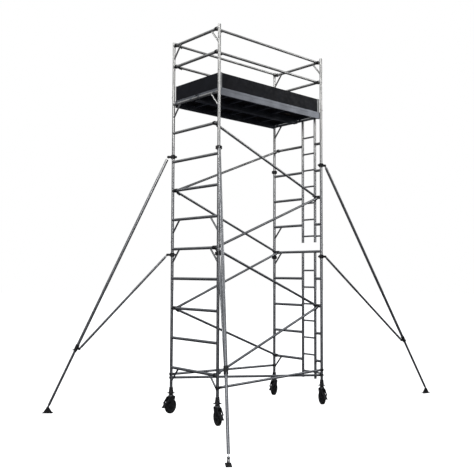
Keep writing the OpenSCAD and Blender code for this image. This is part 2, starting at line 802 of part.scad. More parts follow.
module lugs(reach) {
    for (side = [-1, 1]) translate([0, side * (eye_t / 2 + 1 + lug_t / 2), 0]) rotate([90, 0, 0])
        linear_extrude(lug_t, center = true) {
            translate([0, -eye_r]) square([reach, 2 * eye_r]);
            translate([reach, 0]) circle(r = eye_r);
        }
    translate([reach, 0, 0]) rotate([90, 0, 0])
        cylinder(r = eye_pin_r, h = eye_t + 2 * lug_t + 14, center = true);
    for (side = [-1, 1]) translate([reach, side * (eye_t / 2 + 1 + lug_t + 2), 0]) rotate([90, 0, 0])
        cylinder(r = 13, h = 6, $fn = 6, center = true);
}

module post_clamp(z) {
    translate([0, 0, z]) difference() {
        union() {
            translate([0, 0, -clamp_h / 2]) cylinder(r = post_r + clamp_wall, h = clamp_h);
            lugs(clamp_pin_r);
            translate([-clamp_back_r / 2, 0, 0])
                cube([clamp_back_r, clamp_ear_t, clamp_h / 2], center = true);
            cube([clamp_ear_t, 2 * clamp_ear_r, 3 * clamp_h / 4], center = true);
            translate([0, clamp_ear_r - bolt_r, 0]) rotate([0, 90, 0])
                cylinder(r = bolt_r / 2, h = 2 * clamp_ear_t, center = true);
            translate([-clamp_ear_t, clamp_ear_r - bolt_r, 0]) rotate([0, 90, 0])
                cylinder(r = bolt_r, h = bolt_r, $fn = 6);
        }
        translate([0, 0, -clamp_h]) cylinder(r = post_r + free_gap, h = 2 * clamp_h);
    }
}

module stabiliser_clamps(corner) {
    way = arm_way(corner);
    color(cast_black) at_stabiliser(corner) {
        post_clamp(upper_clamp_z);
        post_clamp(lower_clamp_z);
        difference() {
            union() {
                bar(knuckle_pos(corner) - knuckle_len / 2 * way, knuckle_pos(corner) + knuckle_len / 2 * way,
                    arm_r + knuckle_wall);
                translate(knuckle_pos(corner)) rotate([0, 180 - atan2(way.x, -way.z), 0]) lugs(knuckle_arm);
            }
            bar(knuckle_pos(corner) - knuckle_len * way, knuckle_pos(corner) + knuckle_len * way,
                arm_r + weld_gap);
        }
    }
}

module stabiliser_slider(corner) {
    color(alu) at_stabiliser(corner)
        eyed_tube(foot_pin(corner), knuckle_pos(corner) - slider_inside * arm_way(corner),
            slider_r, slider_wall, 1);
}

module stabiliser_foot(corner) {
    color(cast_black) at_stabiliser(corner) translate([foot_reach[corner], 0, 0]) {
        translate([-foot_l / 2, -foot_w / 2, 0]) cube([foot_l, foot_w, foot_t]);
        for (side = [-1, 1]) translate([0, side * (eye_t / 2 + 1 + lug_t / 2), 0]) rotate([90, 0, 0])
            linear_extrude(lug_t, center = true) {
                polygon([[-foot_l / 2 + 12, foot_t + weld_gap], [foot_l / 2 - 12, foot_t + weld_gap],
                    [15, foot_pin_z + 9], [-15, foot_pin_z + 9]]);
                translate([0, foot_pin_z]) circle(r = 18);
            }
        translate([0, 0, foot_pin_z]) rotate([90, 0, 0]) {
            cylinder(r = eye_pin_r, h = eye_t + 2 * lug_t + 14, center = true);
            for (side = [-1, 1]) translate([0, 0, side * (eye_t / 2 + 1 + lug_t + 2)])
                cylinder(r = 13, h = 6, $fn = 6, center = true);
        }
    }
}

// ---------- nodes ----------

left_lower_frame();
left_upper_frame();
right_lower_frame();
right_upper_frame();
left_guard_frame();
right_guard_frame();
frame_spigots();
snap_pins();
front_diagonal_braces();
rear_diagonal_braces();
front_ledger();
rear_ledger();
plan_brace();
front_guardrails();
rear_guardrails();
brace_hooks();
front_platform_frame();
rear_platform_frame();
front_deck_board();
rear_deck_board();
platform_hooks();
toe_boards();
toe_board_clips();
hatch_door();
stabiliser_arm(REAR_LEFT);  // rear_left_stabiliser_arm
stabiliser_arm(FRONT_LEFT);  // front_left_stabiliser_arm
stabiliser_arm(REAR_RIGHT);  // rear_right_stabiliser_arm
stabiliser_arm(FRONT_RIGHT);  // front_right_stabiliser_arm
stabiliser_clamps(REAR_LEFT);  // rear_left_stabiliser_clamps
stabiliser_clamps(FRONT_LEFT);  // front_left_stabiliser_clamps
stabiliser_clamps(REAR_RIGHT);  // rear_right_stabiliser_clamps
stabiliser_clamps(FRONT_RIGHT);  // front_right_stabiliser_clamps
stabiliser_slider(REAR_LEFT);  // rear_left_stabiliser_slider
stabiliser_slider(FRONT_LEFT);  // front_left_stabiliser_slider
stabiliser_slider(REAR_RIGHT);  // rear_right_stabiliser_slider
stabiliser_slider(FRONT_RIGHT);  // front_right_stabiliser_slider
stabiliser_foot(REAR_LEFT);  // rear_left_stabiliser_foot
stabiliser_foot(FRONT_LEFT);  // front_left_stabiliser_foot
stabiliser_foot(REAR_RIGHT);  // rear_right_stabiliser_foot
stabiliser_foot(FRONT_RIGHT);  // front_right_stabiliser_foot
leg(REAR_LEFT);  // rear_left_leg
leg(FRONT_LEFT);  // front_left_leg
leg(REAR_RIGHT);  // rear_right_leg
leg(FRONT_RIGHT);  // front_right_leg
jack_nut(REAR_LEFT);  // rear_left_jack_nut
jack_nut(FRONT_LEFT);  // front_left_jack_nut
jack_nut(REAR_RIGHT);  // rear_right_jack_nut
jack_nut(FRONT_RIGHT);  // front_right_jack_nut
castor_fork(REAR_LEFT);  // rear_left_castor_fork
castor_fork(FRONT_LEFT);  // front_left_castor_fork
castor_fork(REAR_RIGHT);  // rear_right_castor_fork
castor_fork(FRONT_RIGHT);  // front_right_castor_fork
castor_wheel(REAR_LEFT);  // rear_left_castor_wheel
castor_wheel(FRONT_LEFT);  // front_left_castor_wheel
castor_wheel(REAR_RIGHT);  // rear_right_castor_wheel
castor_wheel(FRONT_RIGHT);  // front_right_castor_wheel
brake_pedal(REAR_LEFT);  // rear_left_brake_pedal
brake_pedal(FRONT_LEFT);  // front_left_brake_pedal
brake_pedal(REAR_RIGHT);  // rear_right_brake_pedal
brake_pedal(FRONT_RIGHT);  // front_right_brake_pedal
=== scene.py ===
"""Looks of the mobile tower scaffold: camera, light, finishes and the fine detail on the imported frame.
Everything is in metres in the frame's own axes: origin on the floor at the tower's centre, +Z up."""

import json
import math

import bmesh
import bpy
from mathutils import Matrix, Vector


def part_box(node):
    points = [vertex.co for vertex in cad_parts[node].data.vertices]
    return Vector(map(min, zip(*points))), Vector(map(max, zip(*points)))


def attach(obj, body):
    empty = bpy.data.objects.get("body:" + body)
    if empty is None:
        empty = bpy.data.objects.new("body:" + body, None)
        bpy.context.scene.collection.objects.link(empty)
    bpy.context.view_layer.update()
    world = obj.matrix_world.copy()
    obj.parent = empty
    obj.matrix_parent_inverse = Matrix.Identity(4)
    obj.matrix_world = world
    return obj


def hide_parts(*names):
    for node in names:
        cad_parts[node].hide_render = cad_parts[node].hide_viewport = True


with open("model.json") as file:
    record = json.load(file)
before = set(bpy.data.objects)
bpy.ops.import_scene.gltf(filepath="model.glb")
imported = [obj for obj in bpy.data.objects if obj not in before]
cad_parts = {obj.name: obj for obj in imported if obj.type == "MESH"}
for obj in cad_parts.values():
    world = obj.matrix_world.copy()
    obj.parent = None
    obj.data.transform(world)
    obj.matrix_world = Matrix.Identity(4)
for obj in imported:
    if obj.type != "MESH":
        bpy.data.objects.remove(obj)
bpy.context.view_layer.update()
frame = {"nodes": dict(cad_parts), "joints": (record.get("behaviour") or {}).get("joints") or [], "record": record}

NODES = frame["nodes"]
CORNERS = ("rear_left", "front_left", "rear_right", "front_right")
ENDS = ("left", "right")
TAU = 2 * math.pi
X, Y, Z = Vector((1, 0, 0)), Vector((0, 1, 0)), Vector((0, 0, 1))

# ---------- the CAD part's own sizes, then its places as read from the frame ----------

POST_R = 0.025
RUNG_R = 0.024
STILE_R = 0.024
STEP_R = 0.016
GUSSET_R = 0.015
RUNG_PITCH = 0.5
FIRST_RUNG = 0.415
RUNGS_PER_FRAME = 5
GUSSET_RUN = 0.2
GUSSET_DROP = 0.24
LADDER_INSET = 0.15
LADDER_W = 0.3
FIRST_STEP = 0.205
STEP_PITCH = 0.31
STEP_COUNT = 7
MID_RAIL = 0.571
TOP_RAIL = 0.945


def joint(name):
    """Where a joint's axis is and which way it points."""
    found = next(j for j in frame["joints"] if j["name"] == name)
    return Vector(found.get("pos_m", (0, 0, 0))), Vector(found["axis"]).normalized()


left_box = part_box("left_lower_frame")
right_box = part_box("right_lower_frame")
END_X = {"left": left_box[0].x + POST_R, "right": right_box[1].x - POST_R}
HALF_W = left_box[1].y - POST_R
LOWER_Z, UPPER_Z = left_box[0].z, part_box("left_upper_frame")[0].z
GUARD_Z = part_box("left_guard_frame")[0].z
DECK_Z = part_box("rear_deck_board")[1].z
STILE_Y = (-HALF_W + LADDER_INSET, -HALF_W + LADDER_INSET + LADDER_W)
SIDE_Y = {"rear": HALF_W, "front": -HALF_W}
POST_XY = {f"{side}_{end}": Vector((END_X[end], SIDE_Y[side], 0)) for side in SIDE_Y for end in ENDS}
FLOOR_Z = 0.0


def rung_z(base_z, number):
    """The height of a rung, counted from 0 at the lowest one of the frame that stands at base_z."""
    return base_z + FIRST_RUNG + number * RUNG_PITCH


# ---------- camera ----------

EYE = Vector((-7.973, -8.37, 2.382))
HEADING = math.radians(42.51)
PITCH = math.radians(3.09)
ROLL = math.radians(0.23)
LENS_MM = 49.53
SENSOR_MM = 36


def add_camera():
    flat = math.cos(PITCH)
    ahead = Vector((flat * math.sin(HEADING), flat * math.cos(HEADING), math.sin(PITCH)))
    level = Vector((math.cos(HEADING), -math.sin(HEADING), 0))
    above = level.cross(ahead)
    right = level * math.cos(ROLL) + above * math.sin(ROLL)
    up = above * math.cos(ROLL) - level * math.sin(ROLL)
    data = bpy.data.cameras.new("camera")
    data.lens = LENS_MM
    data.sensor_width = SENSOR_MM
    data.clip_end = 200
    camera = bpy.data.objects.new("camera", data)
    bpy.context.scene.collection.objects.link(camera)
    camera.matrix_world = Matrix.Translation(EYE) @ Matrix((right, up, -ahead)).transposed().to_4x4()
    bpy.context.scene.camera = camera


# ---------- shader building ----------


class Finish:
    """A Principled material and the few node steps that its colour, roughness and bump are built from."""

    def __init__(self, name, metallic=0.0, specular=0.5, coat=0.0):
        self.material = bpy.data.materials.new(name)
        self.material.use_nodes = True
        self.tree = self.material.node_tree
        self.shader = self.tree.nodes["Principled BSDF"]
        self.shader.inputs["Metallic"].default_value = metallic
        self.shader.inputs["Specular IOR Level"].default_value = specular
        self.shader.inputs["Coat Weight"].default_value = coat
        self.place = self.node("ShaderNodeTexCoord").outputs["Object"]

    def node(self, kind, **settings):
        made = self.tree.nodes.new(kind)
        for key, value in settings.items():
            setattr(made, key, value)
        return made

    def feed(self, socket, value):
        if isinstance(value, bpy.types.NodeSocket):
            self.tree.links.new(value, socket)
        else:
            socket.default_value = value

    def stretched(self, scale):
        mapping = self.node("ShaderNodeMapping")
        self.feed(mapping.inputs["Vector"], self.place)
        mapping.inputs["Scale"].default_value = scale
        return mapping.outputs["Vector"]

    def noise(self, scale, detail=4.0, roughness=0.55, where=None):
        made = self.node("ShaderNodeTexNoise")
        self.feed(made.inputs["Vector"], where or self.place)
        made.inputs["Scale"].default_value = scale
        made.inputs["Detail"].default_value = detail
        made.inputs["Roughness"].default_value = roughness
        return made.outputs["Fac"]

    def waves(self, scale, direction):
        made = self.node("ShaderNodeTexWave", wave_type="BANDS", bands_direction=direction)
        self.feed(made.inputs["Vector"], self.place)
        made.inputs["Scale"].default_value = scale
        return made.outputs["Fac"]

    def ramp(self, value, *stops):
        made = self.node("ShaderNodeValToRGB")
        self.feed(made.inputs["Fac"], value)
        elements = made.color_ramp.elements
        while len(elements) < len(stops):
            elements.new(0.5)
        for element, (position, colour) in zip(elements, stops):
            element.position = position
            element.color = (*colour, 1) if isinstance(colour, tuple) else (colour, colour, colour, 1)
        return made.outputs["Color"]

    def spread(self, value, low, high, to_low, to_high):
        made = self.node("ShaderNodeMapRange")
        self.feed(made.inputs["Value"], value)
        for key, number in (("From Min", low), ("From Max", high), ("To Min", to_low), ("To Max", to_high)):
            made.inputs[key].default_value = number
        return made.outputs["Result"]

    def calc(self, operation, a, b):
        made = self.node("ShaderNodeMath", operation=operation)
        self.feed(made.inputs[0], a)
        self.feed(made.inputs[1], b)
        return made.outputs["Value"]

    def blend(self, factor, a, b, kind="MIX"):
        made = self.node("ShaderNodeMix", data_type="RGBA", blend_type=kind)
        self.feed(made.inputs[0], factor)
        self.feed(made.inputs[6], a)
        self.feed(made.inputs[7], b)
        return made.outputs[2]

    def axis(self, letter):
        parts = self.node("ShaderNodeSeparateXYZ")
        self.feed(parts.inputs["Vector"], self.place)
        return parts.outputs[letter]

    def facing(self, letter):
        geometry = self.node("ShaderNodeNewGeometry")
        parts = self.node("ShaderNodeSeparateXYZ")
        self.feed(parts.inputs["Vector"], geometry.outputs["True Normal"])
        return parts.outputs[letter]

    def edges(self, radius):
        """1 along a convex edge, 0 on a flat, by how far a rounded normal leans from the true one."""
        bevel = self.node("ShaderNodeBevel", samples=4)
        bevel.inputs["Radius"].default_value = radius
        geometry = self.node("ShaderNodeNewGeometry")
        dot = self.node("ShaderNodeVectorMath", operation="DOT_PRODUCT")
        self.feed(dot.inputs[0], bevel.outputs["Normal"])
        self.feed(dot.inputs[1], geometry.outputs["Normal"])
        return self.spread(dot.outputs["Value"], 0.99, 0.8, 0.0, 1.0)

    def bump(self, height, strength, distance):
        made = self.node("ShaderNodeBump")
        self.feed(made.inputs["Height"], height)
        made.inputs["Strength"].default_value = strength
        made.inputs["Distance"].default_value = distance
        self.feed(self.shader.inputs["Normal"], made.outputs["Normal"])

    def surface(self, colour, roughness):
        self.feed(self.shader.inputs["Base Color"], colour)
        self.feed(self.shader.inputs["Roughness"], roughness)
        return self.material


WHITE = (1.0, 1.0, 1.0, 1.0)


def dirt_and_painted_shade_by_height(finish, low, middle, high):
    """Darker towards the floor and lightest above the deck: painted shade on the lower tubes, partly dirt and
    oxide as well.
    """
    height = finish.spread(finish.axis("Z"), 0.3, 6.4, 0.0, 1.0)
    return finish.ramp(height, (0.0, low), (0.55, middle), (0.78, high), (1.0, high))


def tube_finish():
    f = Finish("tube_aluminium", metallic=0.85, specular=0.5)
    # The base colour darkens towards the floor: painted shade, partly dirt and oxide.
    base = dirt_and_painted_shade_by_height(f, (0.38, 0.39, 0.415), (0.5, 0.505, 0.515), (0.8, 0.79, 0.765))
    stains = f.ramp(f.noise(5.0, 5), (0.35, 0.72), (0.6, 1.0))
    colour = f.blend(0.8, base, stains, "MULTIPLY")
    scratches = f.spread(f.noise(60.0, 2, where=f.stretched((8, 8, 0.6))), 0.62, 0.72, 0.0, 0.55)
    colour = f.blend(scratches, colour, (0.62, 0.62, 0.6, 1))
    spots = f.spread(f.noise(38.0, 6, 0.7), 0.63, 0.7, 0.0, 0.5)
    colour = f.blend(spots, colour, (0.06, 0.058, 0.055, 1))
    fine = f.noise(420.0, 3, where=f.stretched((1, 1, 0.25)))
    f.bump(fine, 0.25, 0.0004)
    return f.surface(colour, f.spread(f.noise(24.0, 5), 0.3, 0.7, 0.24, 0.4))


def platform_finish():
    f = Finish("platform_aluminium", metallic=0.8, specular=0.5)
    drawn = f.noise(90.0, 4, where=f.stretched((0.06, 1, 1)))
    colour = f.ramp(drawn, (0.3, (0.27, 0.285, 0.32)), (0.7, (0.38, 0.395, 0.43)))
    stains = f.ramp(f.noise(4.0, 5), (0.38, 0.6), (0.62, 1.0))
    colour = f.blend(0.7, colour, stains, "MULTIPLY")
    f.bump(drawn, 0.3, 0.0005)
    return f.surface(colour, f.spread(drawn, 0.3, 0.7, 0.34, 0.5))


def casting_finish():
    f = Finish("black_casting", metallic=0.0, specular=0.45)
    grain = f.noise(260.0, 4)
    colour = f.ramp(f.noise(16.0, 5), (0.35, (0.016, 0.016, 0.018)), (0.7, (0.035, 0.034, 0.036)))
    worn = f.calc("MULTIPLY", f.edges(0.0025), f.spread(f.noise(45.0, 4), 0.42, 0.6, 0.0, 0.8))
    colour = f.blend(worn, colour, (0.22, 0.22, 0.225, 1))
    f.bump(grain, 0.45, 0.0006)
    return f.surface(colour, f.spread(grain, 0.3, 0.7, 0.42, 0.62))


def zinc_finish():
    f = Finish("zinc_steel", metallic=0.9, specular=0.5)
    flakes = f.noise(70.0, 2, 0.4)
    colour = f.ramp(flakes, (0.35, (0.34, 0.345, 0.35)), (0.65, (0.5, 0.505, 0.51)))
    dull = f.ramp(f.noise(9.0, 5), (0.4, 0.6), (0.65, 1.0))
    colour = f.blend(0.7, colour, dull, "MULTIPLY")
    f.bump(f.noise(300.0, 3), 0.2, 0.0004)
    return f.surface(colour, f.spread(flakes, 0.3, 0.7, 0.28, 0.45))


def deck_finish():
    """Film-faced plywood: a pressed anti-slip mesh on top, ply layers on the cut edges, scuffs from boots."""
    f = Finish("deck_plywood", metallic=0.0, specular=0.25)
    mesh = f.calc("MAXIMUM", f.waves(62.0, "X"), f.waves(62.0, "Y"))
    upward = f.spread(f.facing("Z"), 0.5, 0.9, 0.0, 1.0)
    film = f.ramp(f.noise(7.0, 6), (0.35, (0.014, 0.012, 0.012)), (0.7, (0.036, 0.03, 0.027)))
    scuffs = f.spread(f.noise(30.0, 6, 0.7, where=f.stretched((1, 0.35, 1))), 0.58, 0.72, 0.0, 0.45)
    film = f.blend(scuffs, film, (0.17, 0.155, 0.14, 1))
    layers = f.ramp(f.waves(190.0, "Z"), (0.4, (0.05, 0.034, 0.022)), (0.6, (0.12, 0.09, 0.062)))
    level = f.calc("ABSOLUTE", f.facing("Z"), 0.0)
    colour = f.blend(f.spread(level, 0.4, 0.8, 0.0, 1.0), layers, film)
    f.bump(f.calc("MULTIPLY", mesh, upward), 0.5, 0.0008)
    return f.surface(colour, f.spread(mesh, 0.2, 0.9, 0.38, 0.6))


def toe_board_finish():
    f = Finish("toe_board_film", metallic=0.0, specular=0.2)
    film = f.ramp(f.noise(6.0, 6), (0.35, (0.005, 0.0055, 0.009)), (0.7, (0.012, 0.013, 0.02)))
    marks = f.spread(f.noise(26.0, 6, 0.7, where=f.stretched((0.3, 0.3, 1.6))), 0.62, 0.74, 0.0, 0.35)
    colour = f.blend(marks, film, (0.09, 0.09, 0.1, 1))
    f.bump(f.noise(150.0, 4), 0.2, 0.0005)
    return f.surface(colour, f.spread(f.noise(20.0, 4), 0.3, 0.7, 0.4, 0.6))


def rubber_finish():
    f = Finish("tyre_rubber", metallic=0.0, specular=0.3)
    dust = f.noise(22.0, 6, 0.65)
    low = f.spread(f.axis("Z"), 0.0, 0.25, 0.75, 0.1)
    dusty = f.calc("MULTIPLY", f.spread(dust, 0.42, 0.66, 0.0, 1.0), low)
    colour = f.blend(dusty, (0.011, 0.011, 0.012, 1), (0.075, 0.07, 0.064, 1))
    f.bump(f.noise(340.0, 3), 0.35, 0.0006)
    return f.surface(colour, f.spread(dust, 0.3, 0.7, 0.6, 0.85))


def wheel_centre_finish():
    f = Finish("wheel_centre_nylon", metallic=0.0, specular=0.4)
    tone = f.noise(30.0, 5)
    colour = f.ramp(tone, (0.35, (0.03, 0.031, 0.034)), (0.7, (0.062, 0.063, 0.067)))
    f.bump(f.noise(240.0, 3), 0.25, 0.0004)
    return f.surface(colour, f.spread(tone, 0.3, 0.7, 0.4, 0.58))


def weld_finish():
    f = Finish("weld_bead", metallic=0.85, specular=0.5)
    # The bead's base colour darkens towards the floor: painted shade, partly dirt and oxide.
    base = dirt_and_painted_shade_by_height(f, (0.34, 0.342, 0.35), (0.42, 0.42, 0.425), (0.52, 0.515, 0.5))
    heat = f.ramp(f.noise(55.0, 4), (0.4, 0.65), (0.62, 1.0))
    f.bump(f.noise(500.0, 3), 0.3, 0.0004)
    return f.surface(f.blend(0.8, base, heat, "MULTIPLY"), f.spread(f.noise(60.0, 3), 0.3, 0.7, 0.3, 0.5))


def pedal_grip_finish():
    f = Finish("pedal_grip", metallic=0.0, specular=0.35)
    tone = f.noise(60.0, 5)
    colour = f.ramp(tone, (0.35, (0.02, 0.02, 0.021)), (0.7, (0.04, 0.04, 0.042)))
    f.bump(f.noise(420.0, 3), 0.4, 0.0005)
    return f.surface(colour, f.spread(tone, 0.3, 0.7, 0.55, 0.8))


FINISH = {
    "tube_aluminium": tube_finish(),
    "platform_aluminium": platform_finish(),
    "black_casting": casting_finish(),
    "zinc_steel": zinc_finish(),
    "deck_plywood": deck_finish(),
    "toe_board_plywood": toe_board_finish(),
    "tyre_rubber": rubber_finish(),
}
WELD = weld_finish()
WHEEL_CENTRE = wheel_centre_finish()
GRIP = pedal_grip_finish()


def finish_cad_nodes():
    slots = {part["node"]: part["material_slot"] for part in frame["record"]["subparts"]}
    for name, node in NODES.items():
        node.data.materials.clear()
        node.data.materials.append(FINISH[slots[name]])


# ---------- mesh building ----------

SMOOTH_ANGLE = math.radians(35)


class Piece:
    """A mesh that is gathered solid by solid, then made into one object that rides on a body."""

    def __init__(self):
        self.points = []
        self.faces = []

    def add(self, points, faces):
        start = len(self.points)
        self.points.extend(Vector(p) for p in points)
        self.faces.extend(tuple(start + i for i in face) for face in faces)

    def grid(self, rows, closed_rows=False):
        """Rings of points joined into a skin, with its ends capped unless the last ring meets the first."""
        n, count = len(rows[0]), len(rows)
        faces = []
        for i in range(count if closed_rows else count - 1):
            a, b = i * n, ((i + 1) % count) * n
            faces += [(a + k, a + (k + 1) % n, b + (k + 1) % n, b + k) for k in range(n)]
        if not closed_rows:
            faces += [tuple(reversed(range(n))), tuple(range((count - 1) * n, count * n))]
        self.add([p for row in rows for p in row], faces)

    def lathe(self, centre, axle, profile, segments=48, closed=True):
        """A body of revolution from (along the axle, radius) points. Closed, the points go right round a
        ring's section; otherwise they run from end to end of a solid, which is capped."""
        side = axle.orthogonal().normalized()
        other = axle.cross(side)
        turns = [TAU * k / segments for k in range(segments)]
        spokes = [side * math.cos(angle) + other * math.sin(angle) for angle in turns]
        if closed:
            self.grid([[centre + axle * along + out * radius for along, radius in profile]
                       for out in spokes], closed_rows=True)
        else:
            self.grid([[centre + axle * along + out * radius for out in spokes]
                       for along, radius in profile])

    def rod(self, start, end, radius, segments=16):
        """A round bar with slightly chamfered ends."""
        way = (end - start).normalized()
        length = (end - start).length
        c = min(radius * 0.18, length / 3)
        profile = [(0, radius - c), (c, radius), (length - c, radius), (length, radius - c)]
        self.lathe(start, way, profile, segments, closed=False)

    def slab(self, centre, axes, size, chamfer):
        """A box with chamfered edges; axes are its unit directions, size its full lengths."""
        half = [s / 2 for s in size]
        c = min(chamfer, min(half) * 0.9)
        outline = []
        for sx, sy in ((1, 1), (-1, 1), (-1, -1), (1, -1)):
            corner = [(half[0], half[1] - c), (half[0] - c, half[1])]
            if sx * sy < 0:
                corner.reverse()
            outline += [(sx * a, sy * b) for a, b in corner]
        rows = []
        for height, inset in ((-half[2], c), (-half[2] + c, 0), (half[2] - c, 0), (half[2], c)):
            ring = []
            for a, b in outline:
                shrink_a = (half[0] - inset) / half[0]
                shrink_b = (half[1] - inset) / half[1]
                ring.append(centre + axes[0] * a * shrink_a + axes[1] * b * shrink_b + axes[2] * height)
            rows.append(ring)
        if axes[0].cross(axes[1]).dot(axes[2]) < 0:
            rows.reverse()
        self.grid(rows)

    def sweep(self, path, radius, sides=6, closed=False, ripple=0.0, ripples=0):
        """A round cord of metal along a path, with a ripple like the beads of a weld."""
        count = len(path)
        rings = []
        normal = None
        for i, point in enumerate(path):
            before = path[i - 1] if closed or i else path[i]
            after = path[(i + 1) % count] if closed or i < count - 1 else path[i]
            tangent = (after - before).normalized()
            if normal is None:
                normal = tangent.orthogonal().normalized()
            normal = (normal - tangent * normal.dot(tangent)).normalized()
            across = tangent.cross(normal)
            r = radius * (1 + ripple * math.sin(TAU * ripples * i / count))
            turns = [TAU * k / sides for k in range(sides)]
            rings.append([point + normal * r * math.cos(angle) + across * r * math.sin(angle)
                          for angle in turns])
        self.grid(rings, closed_rows=closed)

    def build(self, name, body, material, slot, replaces=()):
        mesh = bpy.data.meshes.new(name)
        mesh.from_pydata([tuple(p) for p in self.points], [], self.faces)
        mesh.validate()
        mesh.materials.append(material)
        piece = bpy.data.objects.new(name, mesh)
        bpy.context.scene.collection.objects.link(piece)
        orient_outward(mesh)
        mesh.shade_smooth()
        mesh.set_sharp_from_angle(angle=SMOOTH_ANGLE)
        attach(piece, body)
        if replaces:
            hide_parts(*replaces)
        return piece


def orient_outward(mesh):
    work = bmesh.new()
    work.from_mesh(mesh)
    bmesh.ops.recalc_face_normals(work, faces=work.faces)
    work.to_mesh(mesh)
    work.free()


# ---------- welds ----------

WELD_R = 0.0034
WELD_RIPPLE = 0.22
WELD_RIPPLES = 16
WELD_STEPS = 64
# A stile is as thick as the rung it meets, so its bead is drawn this much narrower to find a seam
SEAM_MARGIN = 0.001


def weld(piece, centre, way, tube_r, bar_way, bar_r):
    """A rippled bead round the seam of a tube that leaves centre along way and a round bar through centre."""
    e1 = way.cross(bar_way).normalized()
    e2 = way.cross(e1)
    flat = way - bar_way * way.dot(bar_way)
    path = []
    for k in range(WELD_STEPS):
        angle = TAU * k / WELD_STEPS
        start = (e1 * math.cos(angle) + e2 * math.sin(angle)) * tube_r
        low = start - bar_way * start.dot(bar_way)
        a, b, c = flat.dot(flat), 2 * low.dot(flat), low.dot(low) - bar_r ** 2
        root = math.sqrt(max(b * b - 4 * a * c, 0.0))
        path.append(centre + start + way * ((-b + root) / (2 * a)))
    piece.sweep(path, WELD_R, closed=True, ripple=WELD_RIPPLE, ripples=WELD_RIPPLES)


def gusset_welds(piece, x, side, z):
    """The beads at both ends of a gusset, under the rung at height z."""
    foot = Vector((x, side * HALF_W, z - GUSSET_DROP))
    top = Vector((x, side * (HALF_W - GUSSET_RUN), z))
    way = (top - foot).normalized()
    weld(piece, foot, way, GUSSET_R, Z, POST_R)
    weld(piece, top, -way, GUSSET_R, Y, RUNG_R)


def level_welds(piece, x, from_y, to_y, z, tube_r, from_r, to_r):
    """The beads at both ends of a level tube between two uprights."""
    ahead = Y if to_y > from_y else -Y
    weld(piece, Vector((x, from_y, z)), ahead, tube_r, Z, from_r)
    weld(piece, Vector((x, to_y, z)), -ahead, tube_r, Z, to_r)


def plain_frame_welds(x, base_z):
    piece = Piece()
    for i in range(RUNGS_PER_FRAME):
        level_welds(piece, x, -HALF_W, HALF_W, rung_z(base_z, i), RUNG_R, POST_R, POST_R)
    for side in (-1, 1):
        for i in (0, RUNGS_PER_FRAME - 1):
            gusset_welds(piece, x, side, rung_z(base_z, i))
    return piece


def ladder_frame_welds(x, base_z):
    piece = Piece()
    top_z = rung_z(base_z, RUNGS_PER_FRAME - 1)
    level_welds(piece, x, -HALF_W, HALF_W, top_z, RUNG_R, POST_R, POST_R)
    for i in range(RUNGS_PER_FRAME - 1):
        z = rung_z(base_z, i)
        level_welds(piece, x, -HALF_W, STILE_Y[0], z, RUNG_R, POST_R, STILE_R)
        level_welds(piece, x, STILE_Y[1], HALF_W, z, RUNG_R, STILE_R, POST_R)
    for i in range(STEP_COUNT):
        step_z = base_z + FIRST_STEP + i * STEP_PITCH
        level_welds(piece, x, *STILE_Y, step_z, STEP_R, STILE_R, STILE_R)
    for y in STILE_Y:
        weld(piece, Vector((x, y, top_z)), -Z, STILE_R - SEAM_MARGIN, Y, RUNG_R)
    for i in (0, RUNGS_PER_FRAME - 1):
        gusset_welds(piece, x, 1, rung_z(base_z, i))
    return piece


def guard_frame_welds(x):
    piece = Piece()
    for height in (MID_RAIL, TOP_RAIL):
        level_welds(piece, x, -HALF_W, HALF_W, GUARD_Z + height, RUNG_R, POST_R, POST_R)
    for side in (-1, 1):
        gusset_welds(piece, x, side, GUARD_Z + TOP_RAIL)
    return piece


def add_welds():
    made = {}
    for base_z, level in ((LOWER_Z, "lower"), (UPPER_Z, "upper")):
        made[f"left_{level}"] = plain_frame_welds(END_X["left"], base_z)
        made[f"right_{level}"] = ladder_frame_welds(END_X["right"], base_z)
    for end in ENDS:
        made[f"{end}_guard"] = guard_frame_welds(END_X[end])
    for name, piece in made.items():
        piece.build(f"{name}_frame_welds", "tower", WELD, "tube_aluminium")


# ---------- castors ----------


def mirrored(half):
    """A closed outline from its half on the positive side: along that side and back down the other."""
    return half + [(-along, radius) for along, radius in reversed(half)]


# Sections are points (distance from the wheel's middle plane, radius)
TYRE_R = 0.125
TYRE_HALF_W = 0.025
TYRE_SEAT_R = 0.095
TREAD_GROOVE = 0.0012
TYRE_SECTION = mirrored([
    (0.021, TYRE_SEAT_R), (0.0245, 0.1), (TYRE_HALF_W, 0.11), (0.0235, 0.1175), (0.0195, 0.1225),
    (0.013, 0.1248), (0.004, TYRE_R), (0.003, TYRE_R - TREAD_GROOVE),
])
HUB_HALF_W = 0.028
AXLE_BORE = 0.0075
CENTRE_SECTION = mirrored([
    (0.02, 0.0955), (0.02, 0.089), (0.006, 0.084), (0.005, 0.04), (0.012, 0.03),
    (HUB_HALF_W, 0.0265), (HUB_HALF_W, AXLE_BORE),
])
WHEEL_RIBS = 10
RIB_SIZE = (0.052, 0.005, 0.013)
RIB_R = 0.061
RIB_OFFSET = 0.0105
RIB_CHAMFER = 0.0008


def add_wheel(corner):
    """A solid rubber tyre with a grooved tread on a ribbed nylon centre."""
    centre, axle = joint(f"{corner}_wheel_spin")
    body = f"{corner}_castor_wheel"
    tyre = Piece()
    tyre.lathe(centre, axle, TYRE_SECTION, segments=96)
    tyre.build(f"{corner}_tyre", body, FINISH["tyre_rubber"], "tyre_rubber", replaces=(body,))
    middle = Piece()
    middle.lathe(centre, axle, CENTRE_SECTION, segments=72)
    for k in range(WHEEL_RIBS):
        angle = TAU * k / WHEEL_RIBS
        out = (Z * math.cos(angle) + axle.cross(Z) * math.sin(angle)).normalized()
        for side in (-1, 1):
            at = centre + out * RIB_R + axle * side * RIB_OFFSET
            middle.slab(at, (out, axle.cross(out), axle), RIB_SIZE, RIB_CHAMFER)
    middle.build(f"{corner}_wheel_centre", body, WHEEL_CENTRE, "tyre_rubber")


